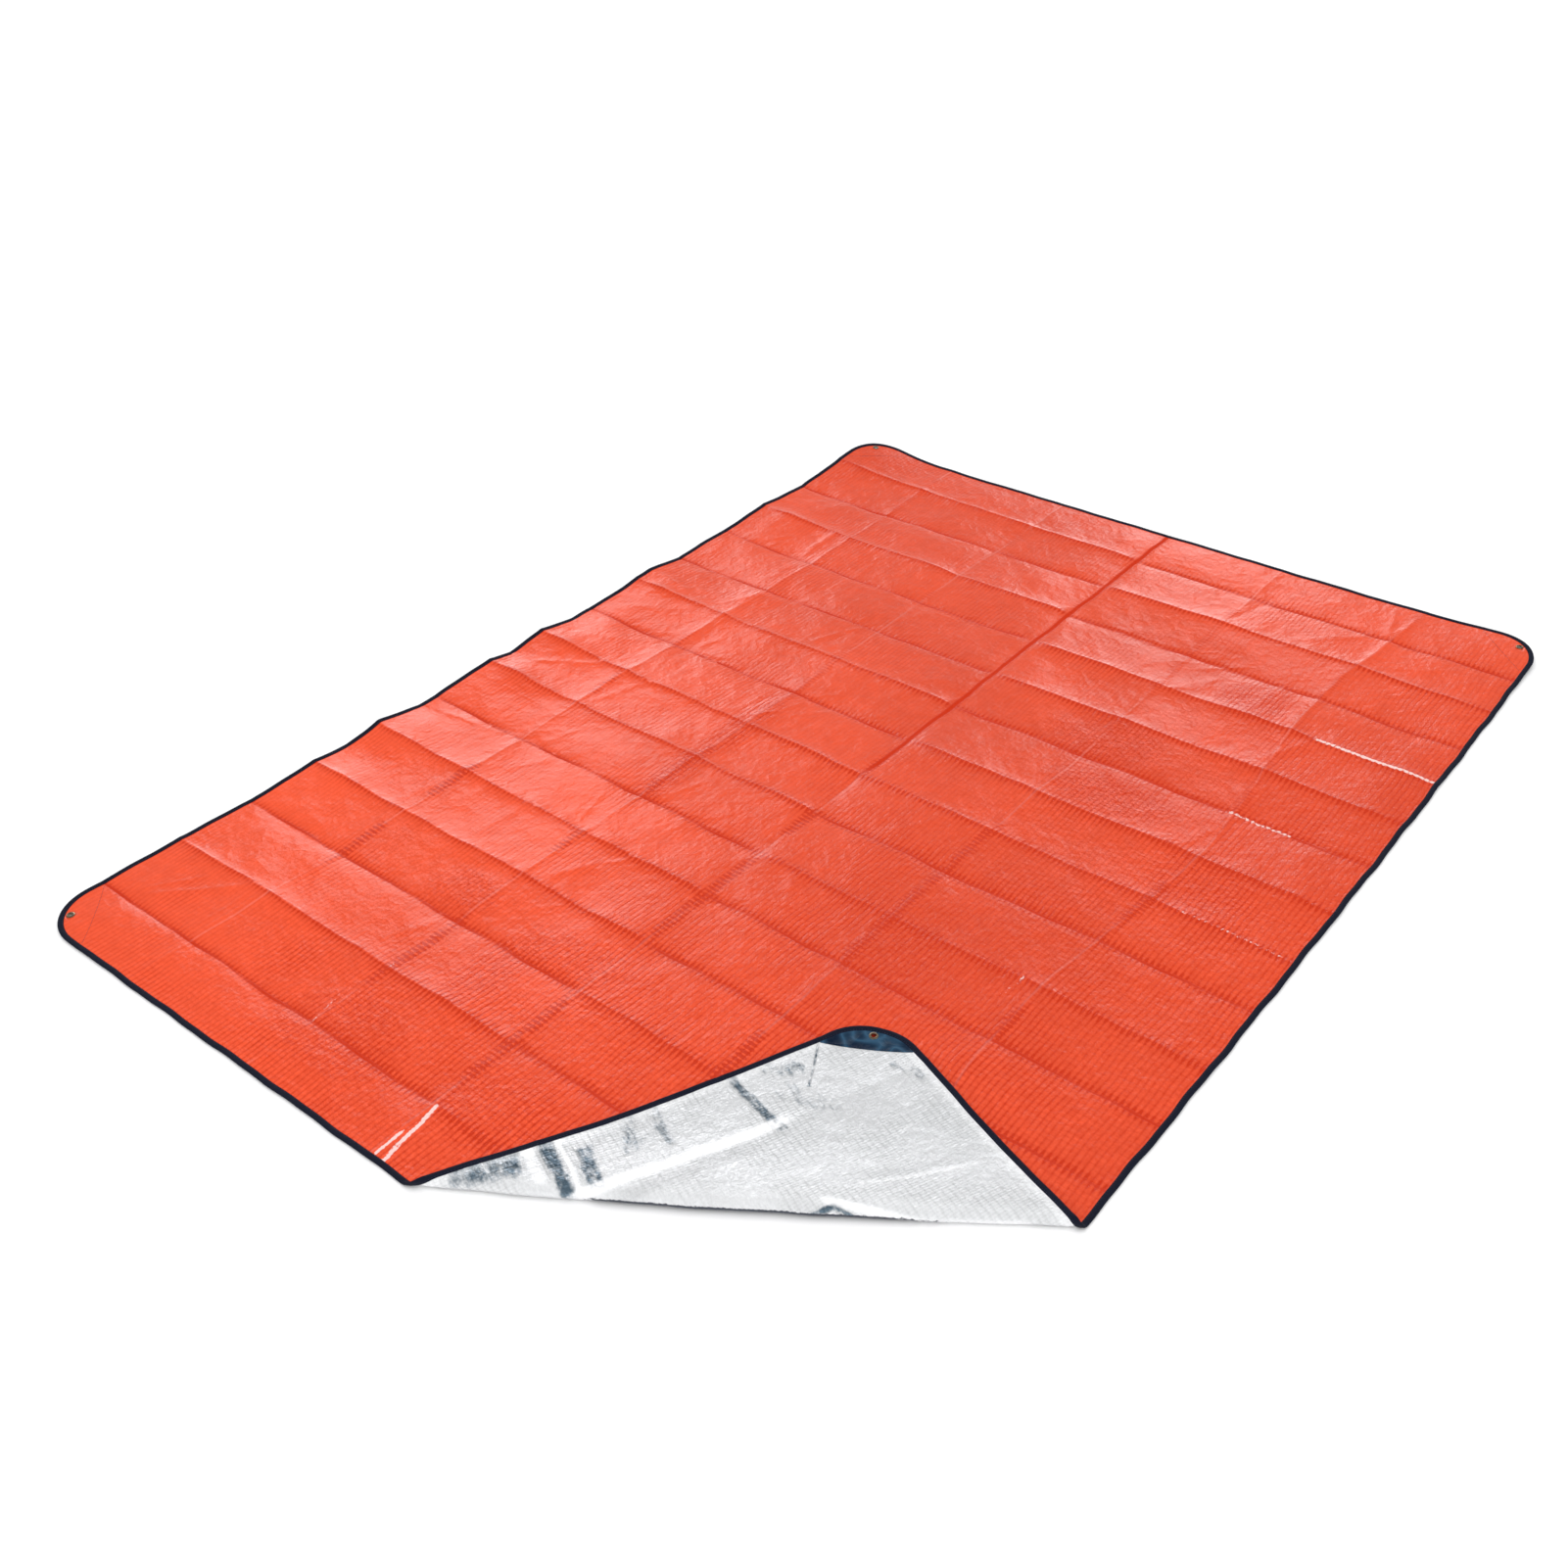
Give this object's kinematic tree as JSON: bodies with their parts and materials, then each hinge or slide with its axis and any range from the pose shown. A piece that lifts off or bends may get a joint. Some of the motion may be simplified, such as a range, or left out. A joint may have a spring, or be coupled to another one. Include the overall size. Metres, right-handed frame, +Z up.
{
  "type": "emergency foil blanket",
  "caption": "Reusable emergency foil blanket: orange laminated cloth, silver underside, navy bound edge and eyelets, opened flat with one corner folded back",
  "frame": {"origin": "on the ground, under the middle of the part's box", "axes": "+X along the long edges towards the right-hand edge, +Y towards the far long edge, +Z up; the folded-back corner is at -X, -Y"},
  "size_m": [2.0871, 1.5078, 0.0279],
  "materials": {
    "orange_laminate": "satin",
    "navy_tape": "matte",
    "navy_patch": "satin",
    "eyelet_metal": "satin"
  },
  "bodies": {
    "root": {"sheet": "orange_laminate", "binding": "navy_tape", "corner_patch_far_left": "navy_patch", "corner_patch_far_right": "navy_patch", "corner_patch_near_right": "navy_patch", "corner_patch_folded": "navy_patch", "eyelet_far_left": "eyelet_metal", "eyelet_far_right": "eyelet_metal", "eyelet_near_right": "eyelet_metal", "eyelet_folded": "eyelet_metal"}
  },
  "joints": []
}
